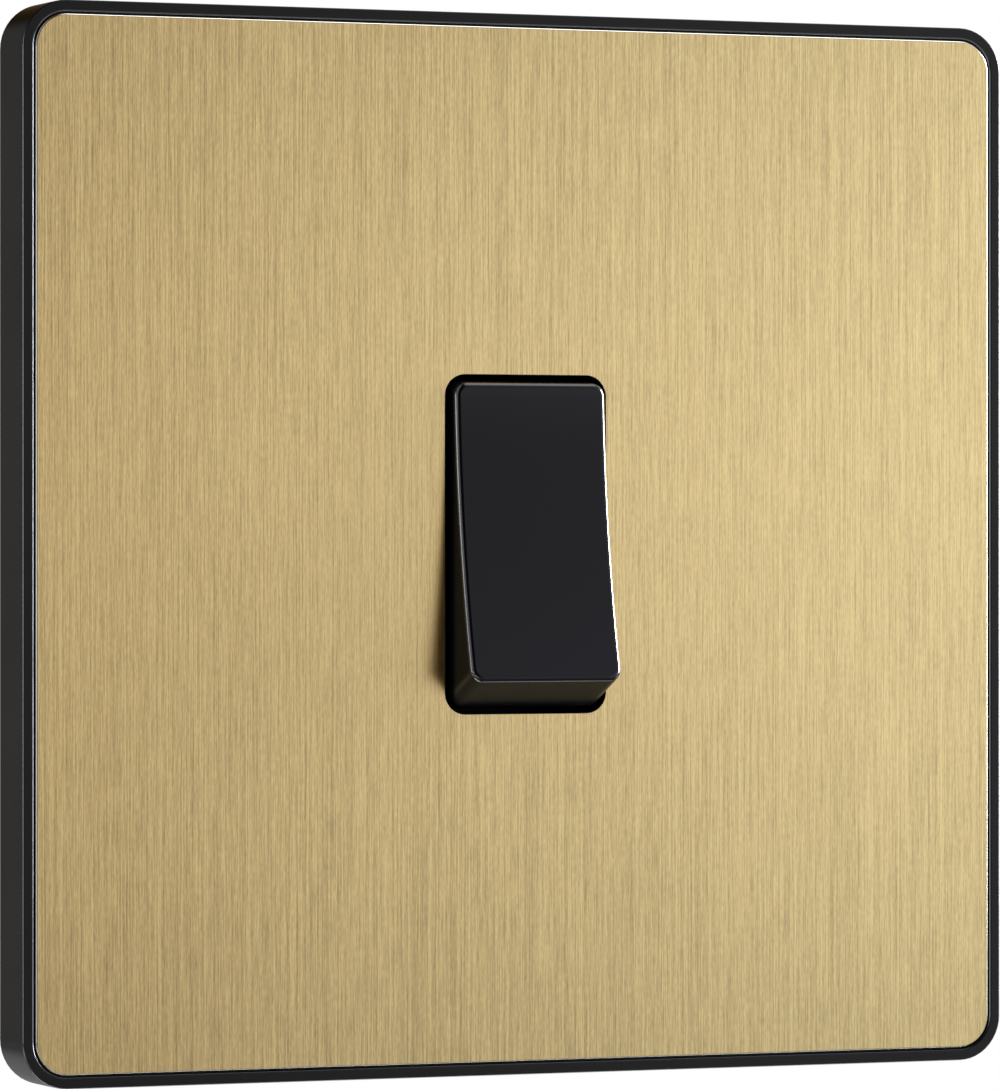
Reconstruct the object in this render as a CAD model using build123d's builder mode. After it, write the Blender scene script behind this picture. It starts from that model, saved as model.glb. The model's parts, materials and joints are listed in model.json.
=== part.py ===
from build123d import *
import os
from math import cos, hypot, radians, sin, sqrt, tan

os.makedirs("parts", exist_ok=True)

# A one-gang wall switch, in millimetres. The wall is the plane y = 0, the plate faces -Y and +Z is up.
# Heights are measured from the wall towards the room, so what lies inside the wall box has a negative height.

# Front plate: a moulded surround with a metal sheet let into its face
plate_size = 95.0
plate_corner_radius = 4.1
plate_depth = 6.2
band_width = 1.05
band_edge_radius = 0.12
lip_edge_radius = 0.2
skirt_wall = 1.7
web_thickness = 1.2
sheet_thickness = 0.8
sheet_gap = 0.15
sheet_edge_radius = 0.15
aperture_edge_radius = 0.06
aperture_corner_radius = 1.9
web_relief = 0.15
rib_thickness = 1.0
rib_inset = 6.0
pry_slot_turn = 180
pry_slot_width = 9.0
pry_slot_height = 1.2

# Snap hooks that hold the front plate on the mounting frame
hook_width = 8.0
hook_thickness = 1.0
hook_barb = 0.6
hook_lift = 0.3
hook_spread = 25.0
hook_gap = 0.15
hook_room = 0.65
catch_height = 1.0
catch_depth = 1.2

# Rocker, measured from its pivot: dished face, drafted ends and a skirt that follows the swing
rocker_width = 14.6
rocker_face_length = 26.8
rocker_dish = 0.75
rocker_edge_height = 7.7
rocker_lip_height = 2.0
rocker_end_draft = 16.0
rocker_corner_radius = 1.2
rocker_edge_radius = 0.5
rocker_wall = 1.5
rocker_skirt_step = 0.4
rocker_skirt_drop = 0.6
rocker_travel = 17.0
rocker_side_gap = 0.5
rocker_end_gap = 0.2
pivot_depth = 4.5
trunnion_radius = 1.2
trunnion_length = 1.5
trunnion_shoulder_radius = 2.2
trunnion_end_gap = 0.2
running_clearance = 0.05
thrust_gap = 0.1

# Sprung plunger in the rocker's barrel
plunger_reach = 9.0
plunger_radius = 2.4
plunger_tip_radius = 1.6
plunger_length = 9.8
plunger_wall = 0.55
plunger_shoulder = 2.6
plunger_floor = 3.2
plunger_gap = 0.35
barrel_wall = 1.1
barrel_reach = 5.4
spring_wire_radius = 0.22
spring_turns = 6
spring_slack = 0.12
spring_seat_wall = 0.45

# Mounting frame that is screwed to the wall box
yoke_corner_radius = 3.0
yoke_thickness = 2.8
cheek_wall = 2.4
collar_end_wall = 1.5
collar_gap = 0.2
well_end_gap = 0.4
stop_gap = 0.2
stop_ledge_thickness = 1.2
stop_ledge_width = 1.8
lead_in_depth = 0.5
lead_in_width = 2.0
core_depth = 1.4
core_radius = 1.0
core_margin = 5.0
core_rib = 3.0
core_height = 11.0
core_columns = 3
core_rows = 2

# Two fixing screws and their slots
screw_pitch = 60.3
screw_radius = 1.75
screw_neck_radius = 1.45
screw_length = 20.0
screw_head_radius = 3.4
screw_head_height = 2.2
screw_head_round = 0.7
screw_point = 0.5
drive_slot_width = 0.9
drive_slot_depth = 1.1
slot_width = 4.2
slot_length = 7.0
slot_floor = 1.2
head_room = 0.6
slot_turns = ((-1, 0), (1, 90))

# See-saw contact and the fixed contacts under it
contact_width = 6.0
contact_thickness = 1.0
contact_half_length = 11.0
contact_tilt = 7.0
contact_bead_radius = 1.0
contact_gap = 0.15
tip_offset = 9.0
tip_radius = 1.6
moving_tip_height = 0.7
moving_tip_dome = 4.0
fixed_tip_height = 0.6
strip_thickness = 1.0
strip_width = 5.0
common_tail_width = 3.6
saddle_thickness = 3.8
saddle_gap = 0.4

# Drilled terminal blocks and their screws
block_width = 8.4
block_length = 7.6
block_front_wall = 1.3
block_seat_drop = 1.7
block_gap = 0.2
conductor_radius = 2.1
conductor_cover = 0.9
clamp_screw_radius = 1.75
clamp_screw_gap = 0.05
clamp_head_radius = 2.8
clamp_head_height = 2.4
clamp_head_lift = 0.5
clamp_tip_gap = 0.3

# Moulded base of the mechanism, held to the mounting frame by two snap arms
base_wall = 1.6
base_corner_radius = 1.5
base_edge_radius = 0.5
base_back_wall = 3.6
base_floor = 1.5
base_clearance = 0.2
base_seat = 0.8
base_seat_gap = 0.15
partition_wall = 1.2
pocket_wall = 2.4
chamber_end_gap = 2.0
access_gap = 0.35
port_gap = 0.7
port_lead_in = 0.7
back_core_inset = 1.6
back_core_rib = 1.4
back_cores = 3
arm_thickness = 1.5
arm_width = 10.0
arm_length = 9.0
arm_frame = 1.8
latch_reach = 0.9
latch_ramp = 1.8
latch_gap = 0.15

# Earth terminal with its strap to the back of the metal sheet
earth_x = 22.0
earth_z = -20.0
earth_block_width = 7.0
earth_block_height = 9.0
earth_conductor_height = 3.9
earth_rivet_radius = 1.5
earth_rivet_head_radius = 2.4
earth_rivet_head_height = 0.6
earth_recess = 0.8
earth_recess_gap = 0.4
strap_width = 5.0
strap_thickness = 0.6
strap_bend_radius = 0.5
strap_slot_offset = 5.5
strap_slot_gap = 0.25
strap_lift = 0.35
strap_step = 2.0
strap_rise = 3.0
strap_tail = 2.4
strap_tail_drop = 0.7
window_gap = 1.0
touch_gap = 0.05

# Levels of the front plate
sheet_size = plate_size - 2 * (band_width + sheet_gap)
sheet_corner_radius = plate_corner_radius - band_width - sheet_gap
seat_size = sheet_size + 2 * sheet_gap
seat_corner_radius = sheet_corner_radius + sheet_gap
sheet_back = plate_depth - sheet_thickness
web_back = sheet_back - web_thickness
cavity_size = plate_size - 2 * skirt_wall
cavity_corner_radius = plate_corner_radius - skirt_wall
yoke_size = cavity_size - 2 * (hook_room + hook_thickness + hook_gap)

# The rocker's swing, and the aperture and well that clear it
pivot_height = plate_depth - pivot_depth
rest_tilt = rocker_travel / 2
rest_sin = sin(radians(rest_tilt))
rest_cos = cos(radians(rest_tilt))
face_half = rocker_face_length / 2
lip_half = face_half + (rocker_edge_height - rocker_lip_height) * tan(radians(rocker_end_draft))
swing_radius = hypot(lip_half, rocker_lip_height)
skirt_radius = swing_radius - rocker_skirt_step
web_over_pivot = max(web_back - pivot_height, 0)
aperture_width = rocker_width + 2 * rocker_side_gap
aperture_height = 2 * (sqrt(swing_radius**2 - web_over_pivot**2) + rocker_end_gap)
well_half_x = aperture_width / 2
well_half_z = swing_radius + well_end_gap
collar_half_x = well_half_x + cheek_wall
collar_half_z = well_half_z + collar_end_wall
collar_top = web_back - collar_gap
skirt_half = sqrt(skirt_radius**2 - rocker_skirt_drop**2)
skirt_low = pivot_height - rocker_skirt_drop * rest_cos - skirt_half * rest_sin
ledge_top = skirt_low - stop_gap
collar_bottom = ledge_top - stop_ledge_thickness

# The rocker's inside: ceiling, barrel and spring
cavity_half_x = rocker_width / 2 - rocker_wall
cavity_half_z = sqrt(skirt_radius**2 - rocker_lip_height**2) - rocker_wall
ceiling_half = face_half - rocker_wall
ceiling = rocker_edge_height - rocker_dish - rocker_wall
barrel_bore_radius = plunger_radius + running_clearance
barrel_radius = barrel_bore_radius + barrel_wall
spring_seat = ceiling - spring_seat_wall
spring_space = spring_seat + plunger_reach - plunger_floor
spring_radius = plunger_radius - plunger_wall - spring_slack - spring_wire_radius

# Levels of the contacts, from the plunger's tip down to the chamber's floor
tilt_sin = sin(radians(contact_tilt))
tilt_cos = cos(radians(contact_tilt))
tip_centre = plunger_reach - plunger_tip_radius
tip_stack = plunger_tip_radius + plunger_gap + contact_thickness - tip_centre * rest_sin * tilt_sin
contact_pivot = pivot_height - tip_centre * rest_cos - tip_stack / tilt_cos
dome_drop = (moving_tip_height - moving_tip_dome) * tilt_cos + moving_tip_dome
fixed_tip_front = contact_pivot - tip_offset * tilt_sin - dome_drop - contact_gap
strip_front = fixed_tip_front - fixed_tip_height
chamber_floor = strip_front - strip_thickness

# Terminals and the base around them
conductor_height = strip_front + conductor_cover + conductor_radius
block_front = conductor_height + conductor_radius + block_front_wall
block_back = chamber_floor - block_seat_drop
chamber_half_x = collar_half_x + base_clearance
chamber_half_z = contact_half_length + chamber_end_gap
block_inner = chamber_half_z + partition_wall
block_centre = block_inner + block_length / 2
pocket_outer = block_inner + block_length + block_gap
pocket_width = block_width + 2 * block_gap
pair_offset = (pocket_width + pocket_wall) / 2
cavity_half_width = max(chamber_half_x, pair_offset + pocket_width / 2)
cavity_half_height = max(pocket_outer, collar_half_z + base_clearance)
base_half_x = cavity_half_width + base_wall
base_half_z = cavity_half_height + base_wall
cavity_bottom = collar_bottom - base_clearance
base_back = block_back - base_back_wall
latch_shoulder = arm_length - arm_frame - latch_gap
terminal_places = {"l1": (0, 1), "l2": (-pair_offset, -1), "common": (pair_offset, -1)}

# The earth strap's levels, from its foot to the finger that touches the sheet
foot_height = earth_recess - strap_thickness / 2
bridge_height = yoke_thickness + strap_lift + strap_thickness / 2
finger_height = sheet_back - touch_gap - strap_thickness / 2
earth_block_back = earth_recess - strap_thickness - earth_block_height
earth_conductor = earth_recess - strap_thickness - earth_conductor_height
foot_half = earth_block_width / 2
strap_slot_z = earth_z - strap_slot_offset
finger_start_z = strap_slot_z - strap_step
finger_z = finger_start_z - strap_rise
finger_end_z = finger_z - strap_tail

yoke_half = yoke_size / 2
hook_inner = yoke_half + hook_gap
quarter_turns = (0, 90, 180, 270)


def edge_plane(turn):
    """The section plane across one edge of the plate: x runs outwards, y towards the room."""
    angle = radians(turn)
    return Plane((0, 0, 0), x_dir=(sin(angle), 0, cos(angle)), z_dir=(cos(angle), 0, -sin(angle)))


def tilted_section(height, angle):
    """A section plane across X at a pivot: x runs up the tilted piece, y out of its front."""
    turn = radians(angle)
    return Plane((0, -height, 0), x_dir=(0, sin(turn), cos(turn)), z_dir=(1, 0, 0))


# The metal sheet, with its front edges eased
with BuildPart() as face_plate:
    with BuildSketch(Plane.XZ.offset(sheet_back)):
        RectangleRounded(sheet_size, sheet_size, sheet_corner_radius)
        RectangleRounded(aperture_width, aperture_height, aperture_corner_radius, mode=Mode.SUBTRACT)
    extrude(amount=sheet_thickness)
    fillet(face_plate.faces().sort_by(Axis.Y)[0].inner_wires()[0].edges(), aperture_edge_radius)
    fillet(face_plate.faces().sort_by(Axis.Y)[0].outer_wire().edges(), sheet_edge_radius)
face_plate.part.label = "face_plate"
export_step(face_plate.part, "parts/face_plate.step")

# The moulded surround: band, seat for the sheet, web, skirt, ribs and snap hooks
with BuildPart() as front_frame:
    with BuildSketch(Plane.XZ):
        RectangleRounded(plate_size, plate_size, plate_corner_radius)
    extrude(amount=plate_depth)
    fillet(front_frame.faces().sort_by(Axis.Y)[0].edges(), band_edge_radius)
    with BuildSketch(Plane.XZ.offset(sheet_back)):
        RectangleRounded(seat_size, seat_size, seat_corner_radius)
    extrude(amount=sheet_thickness, mode=Mode.SUBTRACT)
    fillet(front_frame.faces().sort_by(Axis.Y)[0].inner_wires()[0].edges(), lip_edge_radius)
    with BuildSketch(Plane.XZ):
        RectangleRounded(cavity_size, cavity_size, cavity_corner_radius)
    extrude(amount=web_back, mode=Mode.SUBTRACT)
    with BuildSketch(Plane.XZ.offset(web_back)):
        RectangleRounded(
            aperture_width + 2 * web_relief,
            aperture_height + 2 * web_relief,
            aperture_corner_radius + web_relief,
        )
        with Locations((earth_x, (finger_start_z + finger_end_z) / 2)):
            Rectangle(strap_width + 2 * window_gap, strap_rise + strap_tail + 2 * window_gap)
    extrude(amount=web_thickness, mode=Mode.SUBTRACT)
    with BuildSketch(Plane.XZ.offset(yoke_thickness)):
        Rectangle(yoke_size - 2 * rib_inset, yoke_size - 2 * rib_inset)
        Rectangle(
            yoke_size - 2 * (rib_inset + rib_thickness),
            yoke_size - 2 * (rib_inset + rib_thickness),
            mode=Mode.SUBTRACT,
        )
    extrude(amount=web_back - yoke_thickness)
    with BuildSketch(Plane.XZ.offset(yoke_thickness)):
        Rectangle(
            2 * (collar_half_x + base_clearance + rib_thickness),
            2 * (collar_half_z + base_clearance + rib_thickness),
        )
        Rectangle(
            2 * (collar_half_x + base_clearance),
            2 * (collar_half_z + base_clearance),
            mode=Mode.SUBTRACT,
        )
    extrude(amount=web_back - yoke_thickness)
    for turn in quarter_turns:
        for place in (-hook_spread, hook_spread):
            with BuildSketch(edge_plane(turn).offset(place)):
                with BuildLine():
                    Polyline(
                        (hook_inner, web_back),
                        (hook_inner, catch_height),
                        (hook_inner - hook_barb, catch_height - touch_gap),
                        (hook_inner, hook_lift),
                        (hook_inner + hook_thickness, hook_lift),
                        (hook_inner + hook_thickness, web_back),
                        close=True,
                    )
                make_face()
    extrude(amount=hook_width / 2, both=True)
    with BuildSketch(edge_plane(pry_slot_turn)):
        with Locations((plate_size / 2, pry_slot_height / 2)):
            Rectangle(2 * skirt_wall, pry_slot_height)
    extrude(amount=pry_slot_width / 2, both=True, mode=Mode.SUBTRACT)
front_frame.part.label = "front_frame"
export_step(front_frame.part, "parts/front_frame.step")

# The mounting frame: yoke plate, collar with the rocker's bearings, catches, slots and snap arms
with BuildPart() as mounting_frame:
    with BuildSketch(Plane.XZ):
        RectangleRounded(yoke_size, yoke_size, yoke_corner_radius)
    extrude(amount=yoke_thickness)
    with BuildSketch(Plane.XZ):
        RectangleRounded(
            2 * (base_half_x + base_seat_gap),
            2 * (base_half_z + base_seat_gap),
            base_corner_radius + base_seat_gap,
        )
    extrude(amount=base_seat, mode=Mode.SUBTRACT)
    with BuildSketch(Plane.XZ.offset(collar_bottom)):
        Rectangle(2 * collar_half_x, 2 * collar_half_z)
    extrude(amount=collar_top - collar_bottom)
    with BuildSketch(Plane.XZ.offset(ledge_top)):
        Rectangle(2 * well_half_x, 2 * well_half_z)
    extrude(amount=collar_top - ledge_top, mode=Mode.SUBTRACT)
    with BuildSketch(Plane.XZ.offset(collar_bottom)):
        Rectangle(2 * well_half_x, 2 * (well_half_z - stop_ledge_width))
    extrude(amount=stop_ledge_thickness, mode=Mode.SUBTRACT)
    with BuildSketch(Plane.XZ.offset(pivot_height)):
        Rectangle(2 * (well_half_x + lead_in_depth), lead_in_width)
    extrude(amount=collar_top - pivot_height, mode=Mode.SUBTRACT)
    with BuildSketch(tilted_section(pivot_height, 0)):
        Circle(trunnion_radius + running_clearance)
    extrude(amount=well_half_x + trunnion_length + trunnion_end_gap, both=True, mode=Mode.SUBTRACT)
    for side, turn in slot_turns:
        with BuildSketch(Plane.XZ):
            with Locations((side * screw_pitch / 2, 0)):
                SlotOverall(slot_length, slot_width, rotation=turn)
        extrude(amount=yoke_thickness, mode=Mode.SUBTRACT)
        with BuildSketch(Plane.XZ.offset(slot_floor)):
            with Locations((side * screw_pitch / 2, 0)):
                SlotOverall(
                    slot_length - slot_width + 2 * (screw_head_radius + head_room),
                    2 * (screw_head_radius + head_room),
                    rotation=turn,
                )
        extrude(amount=yoke_thickness - slot_floor, mode=Mode.SUBTRACT)
    with BuildSketch(Plane.XZ):
        core_pitch = (yoke_size - 2 * core_margin + core_rib) / core_columns
        with GridLocations(core_pitch, yoke_size - 2 * core_margin - core_height, core_columns, core_rows):
            RectangleRounded(core_pitch - core_rib, core_height, core_radius)
    extrude(amount=core_depth, mode=Mode.SUBTRACT)
    for turn in quarter_turns:
        for place in (-hook_spread, hook_spread):
            with BuildSketch(edge_plane(turn).offset(place)):
                with Locations((yoke_half, catch_height / 2)):
                    Rectangle(2 * catch_depth, catch_height)
    extrude(amount=hook_width / 2 + hook_gap, both=True, mode=Mode.SUBTRACT)
    with BuildSketch(Plane.XZ):
        with GridLocations(2 * (base_half_x + base_seat_gap) + arm_thickness, 0, 2, 1):
            Rectangle(arm_thickness, arm_width)
    extrude(amount=-arm_length)
    with BuildSketch(edge_plane(0)):
        with Locations((0, (cavity_bottom - arm_length + arm_frame) / 2)):
            Rectangle(arm_width - 2 * arm_frame, arm_length - arm_frame + cavity_bottom)
    extrude(amount=base_half_x + base_seat_gap + arm_thickness, both=True, mode=Mode.SUBTRACT)
    with BuildSketch(Plane.XZ):
        with Locations((earth_x, (earth_z + foot_half + strap_slot_z) / 2)):
            Rectangle(
                earth_block_width + 2 * earth_recess_gap,
                earth_z + foot_half - strap_slot_z + strap_thickness + 2 * earth_recess_gap,
            )
    extrude(amount=earth_recess, mode=Mode.SUBTRACT)
    with BuildSketch(Plane.XZ):
        with Locations((earth_x, strap_slot_z)):
            Rectangle(strap_width + 2 * strap_slot_gap, strap_thickness + 2 * strap_slot_gap)
        with Locations((earth_x, earth_z)):
            Circle(earth_rivet_radius)
    extrude(amount=yoke_thickness, mode=Mode.SUBTRACT)
mounting_frame.part.label = "mounting_frame"
export_step(mounting_frame.part, "parts/mounting_frame.step")

# Two fixing screws, with a slotted pan head and a relieved neck through the mounting frame
with BuildPart() as fixing_screws:
    with BuildSketch(Plane.XZ.offset(slot_floor - screw_length)):
        with GridLocations(screw_pitch, 0, 2, 1):
            Circle(screw_radius)
    extrude(amount=screw_length - slot_floor)
    chamfer(fixing_screws.edges().group_by(Axis.Y)[-1], screw_point)
    with BuildSketch(Plane.XZ):
        with GridLocations(screw_pitch, 0, 2, 1):
            Circle(screw_neck_radius)
    extrude(amount=slot_floor)
    with BuildSketch(Plane.XZ.offset(slot_floor)):
        with GridLocations(screw_pitch, 0, 2, 1):
            Circle(screw_head_radius)
    extrude(amount=screw_head_height)
    fillet(fixing_screws.edges().group_by(Axis.Y)[0], screw_head_round)
    with BuildSketch(Plane.XZ.offset(slot_floor + screw_head_height)):
        with GridLocations(screw_pitch, 0, 2, 1):
            Rectangle(2 * screw_head_radius, drive_slot_width)
    extrude(amount=-drive_slot_depth, mode=Mode.SUBTRACT)
fixing_screws.part.label = "fixing_screws"
export_step(fixing_screws.part, "parts/fixing_screws.step")

# The rocker's skirt, tilted with the rocker's top pressed in: its ends follow the swing
rocker_section = tilted_section(pivot_height, rest_tilt)
rocker_front = Plane(rocker_section.origin, x_dir=(1, 0, 0), z_dir=rocker_section.y_dir)
with BuildPart() as rocker_skirt:
    with BuildSketch(rocker_section):
        Circle(skirt_radius)
        with Locations((0, (rocker_lip_height - rocker_skirt_drop) / 2)):
            Rectangle(2 * skirt_radius, rocker_lip_height + rocker_skirt_drop, mode=Mode.INTERSECT)
    extrude(amount=rocker_width / 2, both=True)
    fillet(rocker_skirt.edges().filter_by(GeomType.CIRCLE), rocker_corner_radius)

# The rocker: dished body over its skirt, trunnions, cavity and spring barrel
with BuildPart() as rocker:
    with BuildSketch(rocker_section):
        with BuildLine():
            Polyline(
                (-face_half, rocker_edge_height),
                (-lip_half, rocker_lip_height),
                (lip_half, rocker_lip_height),
                (face_half, rocker_edge_height),
            )
            ThreePointArc(
                (face_half, rocker_edge_height),
                (0, rocker_edge_height - rocker_dish),
                (-face_half, rocker_edge_height),
            )
        make_face()
    extrude(amount=rocker_width / 2, both=True)
    end_faces = rocker.faces().filter_by(GeomType.PLANE).sort_by(Axis.Z)
    corner_edges = [
        edge
        for face in (end_faces[0], end_faces[-1])
        for edge in face.edges().filter_by(Axis.X, reverse=True)
    ]
    fillet(corner_edges, rocker_corner_radius)
    fillet(rocker.faces().filter_by(GeomType.CYLINDER).sort_by(SortBy.AREA)[-1].edges(), rocker_edge_radius)
    add(rocker_skirt.part)
    with BuildSketch(rocker_section):
        Circle(trunnion_shoulder_radius)
    extrude(amount=well_half_x - thrust_gap, both=True)
    with BuildSketch(rocker_section):
        Circle(trunnion_radius)
    extrude(amount=well_half_x + trunnion_length, both=True)
    with BuildSketch(rocker_section):
        with BuildLine():
            Polyline(
                (-cavity_half_z, -trunnion_shoulder_radius),
                (-cavity_half_z, rocker_lip_height),
                (-ceiling_half, ceiling),
                (ceiling_half, ceiling),
                (cavity_half_z, rocker_lip_height),
                (cavity_half_z, -trunnion_shoulder_radius),
                close=True,
            )
        make_face()
    extrude(amount=cavity_half_x, both=True, mode=Mode.SUBTRACT)
    with BuildSketch(rocker_front.offset(-barrel_reach)):
        Circle(barrel_radius)
    extrude(amount=barrel_reach + ceiling)
    with BuildSketch(rocker_front.offset(rocker_lip_height)):
        Rectangle(2 * cavity_half_x, rib_thickness)
    extrude(amount=ceiling - rocker_lip_height)
    with BuildSketch(rocker_front.offset(-barrel_reach)):
        Circle(barrel_bore_radius)
    extrude(amount=barrel_reach + spring_seat, mode=Mode.SUBTRACT)
rocker.part.label = "rocker"
export_step(rocker.part, "parts/rocker.step")

# The plunger: a round-ended cup that slides in the rocker's barrel
rocker_axis = Axis(rocker_section.origin, rocker_section.y_dir)
with BuildPart() as plunger:
    with BuildSketch(rocker_section):
        with BuildLine():
            Polyline(
                (plunger_tip_radius, -tip_centre),
                (plunger_radius, plunger_shoulder - plunger_reach),
                (plunger_radius, plunger_length - plunger_reach),
                (plunger_radius - plunger_wall, plunger_length - plunger_reach),
                (plunger_radius - plunger_wall, plunger_floor - plunger_reach),
                (0, plunger_floor - plunger_reach),
                (0, -plunger_reach),
            )
            RadiusArc((0, -plunger_reach), (plunger_tip_radius, -tip_centre), -plunger_tip_radius)
        make_face()
    revolve(axis=rocker_axis)
plunger.part.label = "plunger"
export_step(plunger.part, "parts/plunger.step")

# The compression spring between the plunger's floor and the end of the barrel's bore
spring_start = rocker_front.offset(plunger_floor - plunger_reach + spring_wire_radius + touch_gap)
spring_height = spring_space - 2 * (spring_wire_radius + touch_gap)
with BuildPart() as plunger_spring:
    with BuildLine() as spring_path:
        Helix(
            pitch=spring_height / spring_turns,
            height=spring_height,
            radius=spring_radius,
            center=spring_start.origin,
            direction=spring_start.z_dir,
        )
    with BuildSketch(Plane(spring_path.line @ 0, z_dir=spring_path.line % 0)):
        Circle(spring_wire_radius)
    sweep(path=spring_path.line, is_frenet=True)
plunger_spring.part.label = "plunger_spring"
export_step(plunger_spring.part, "parts/plunger_spring.step")

# The see-saw contact, tilted onto its lower tip, with a half-round bead as its pivot
contact_section = tilted_section(contact_pivot, -contact_tilt)
with BuildPart() as moving_contact:
    with BuildSketch(contact_section):
        with Locations((0, contact_thickness / 2)):
            Rectangle(2 * contact_half_length, contact_thickness)
        Circle(contact_bead_radius)
        with Locations((0, contact_thickness + contact_bead_radius / 2)):
            Rectangle(2 * contact_bead_radius, contact_bead_radius, mode=Mode.SUBTRACT)
    extrude(amount=contact_width / 2, both=True)
moving_contact.part.label = "moving_contact"
export_step(moving_contact.part, "parts/moving_contact.step")

# Two domed silver tips on the see-saw's back
with BuildPart() as moving_contact_tips:
    for place in (-tip_offset, tip_offset):
        with BuildSketch(contact_section):
            with BuildLine():
                Polyline(
                    (place, -moving_tip_height),
                    (place, 0),
                    (place + tip_radius, 0),
                    (
                        place + tip_radius,
                        moving_tip_dome - moving_tip_height - sqrt(moving_tip_dome**2 - tip_radius**2),
                    ),
                )
                RadiusArc(
                    (
                        place + tip_radius,
                        moving_tip_dome - moving_tip_height - sqrt(moving_tip_dome**2 - tip_radius**2),
                    ),
                    (place, -moving_tip_height),
                    moving_tip_dome,
                )
            make_face()
        revolve(axis=Axis(contact_section.from_local_coords((place, 0, 0)), contact_section.y_dir))
moving_contact_tips.part.label = "moving_contact_tips"
export_step(moving_contact_tips.part, "parts/moving_contact_tips.step")

# The common contact: a flat strip on the chamber's floor with a grooved saddle under the see-saw's bead
with BuildPart() as common_contact:
    with BuildSketch(Plane.XZ.offset(chamber_floor)):
        with Locations((pair_offset / 2, 0)):
            Rectangle(pair_offset + common_tail_width, strip_width)
        with Locations((pair_offset, -block_inner / 2)):
            Rectangle(common_tail_width, block_inner)
    extrude(amount=strip_thickness)
    with BuildSketch(tilted_section(contact_pivot, 0)):
        with Locations((0, (strip_front - contact_pivot - saddle_gap) / 2)):
            Rectangle(saddle_thickness, contact_pivot - saddle_gap - strip_front)
        Circle(contact_bead_radius + running_clearance, mode=Mode.SUBTRACT)
    extrude(amount=strip_width / 2, both=True)
common_contact.part.label = "common_contact"
export_step(common_contact.part, "parts/common_contact.step")

# The upper contact strip, straight from its tip to its terminal block
tip_margin = strip_width / 2
with BuildPart() as l1_contact:
    with BuildSketch(Plane.XZ.offset(chamber_floor)):
        with Locations((0, (tip_offset - tip_margin + block_inner) / 2)):
            Rectangle(strip_width, block_inner - tip_offset + tip_margin)
    extrude(amount=strip_thickness)
l1_contact.part.label = "l1_contact"
export_step(l1_contact.part, "parts/l1_contact.step")

# The lower contact strip, stepped sideways to the block beside the common one
with BuildPart() as l2_contact:
    with BuildSketch(Plane.XZ.offset(chamber_floor)):
        with Locations(((tip_radius - pair_offset - tip_margin) / 2, -tip_offset)):
            Rectangle(pair_offset + tip_margin + tip_radius, strip_width)
        with Locations((-pair_offset, -(tip_offset + block_inner) / 2)):
            Rectangle(strip_width, block_inner - tip_offset)
    extrude(amount=strip_thickness)
l2_contact.part.label = "l2_contact"
export_step(l2_contact.part, "parts/l2_contact.step")

# Two flat silver tips on the upper and lower strips
with BuildPart() as fixed_contact_tips:
    with BuildSketch(Plane.XZ.offset(strip_front)):
        with GridLocations(0, 2 * tip_offset, 1, 2):
            Circle(tip_radius)
    extrude(amount=fixed_tip_height)
fixed_contact_tips.part.label = "fixed_contact_tips"
export_step(fixed_contact_tips.part, "parts/fixed_contact_tips.step")

# Three brass blocks, each with a conductor bore from its end and a screw hole from the back
for name, (place, end) in terminal_places.items():
    with BuildPart() as terminal:
        with BuildSketch(Plane.XZ.offset(block_back)):
            with Locations((place, end * block_centre)):
                Rectangle(block_width, block_length)
        extrude(amount=block_front - block_back)
        chamfer(terminal.edges().filter_by(Axis.Y), block_gap)
        with BuildSketch(Plane.XY.offset(end * block_inner)):
            with Locations((place, -conductor_height)):
                Circle(conductor_radius)
        extrude(amount=end * block_length, mode=Mode.SUBTRACT)
        with BuildSketch(Plane.XZ.offset(block_back)):
            with Locations((place, end * block_centre)):
                Circle(clamp_screw_radius + clamp_screw_gap)
        extrude(amount=conductor_height - block_back, mode=Mode.SUBTRACT)
    terminal.part.label = name + "_terminal"
    export_step(terminal.part, "parts/" + name + "_terminal.step")

# Three slotted clamp screws, backed off so that a conductor can go in
clamp_places = [(place, end * block_centre) for place, end in terminal_places.values()]
clamp_tip = conductor_height - conductor_radius - clamp_tip_gap
clamp_head = block_back - clamp_head_lift
with BuildPart() as terminal_screws:
    with BuildSketch(Plane.XZ.offset(clamp_head)):
        with Locations(clamp_places):
            Circle(clamp_screw_radius)
    extrude(amount=clamp_tip - clamp_head)
    with BuildSketch(Plane.XZ.offset(clamp_head)):
        with Locations(clamp_places):
            Circle(clamp_head_radius)
    extrude(amount=-clamp_head_height)
    chamfer(terminal_screws.edges().group_by(Axis.Y)[-1], clamp_tip_gap)
    with BuildSketch(Plane.XZ.offset(clamp_head - clamp_head_height)):
        with Locations(clamp_places):
            Rectangle(2 * clamp_head_radius, drive_slot_width)
    extrude(amount=drive_slot_depth, mode=Mode.SUBTRACT)
terminal_screws.part.label = "terminal_screws"
export_step(terminal_screws.part, "parts/terminal_screws.step")

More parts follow.
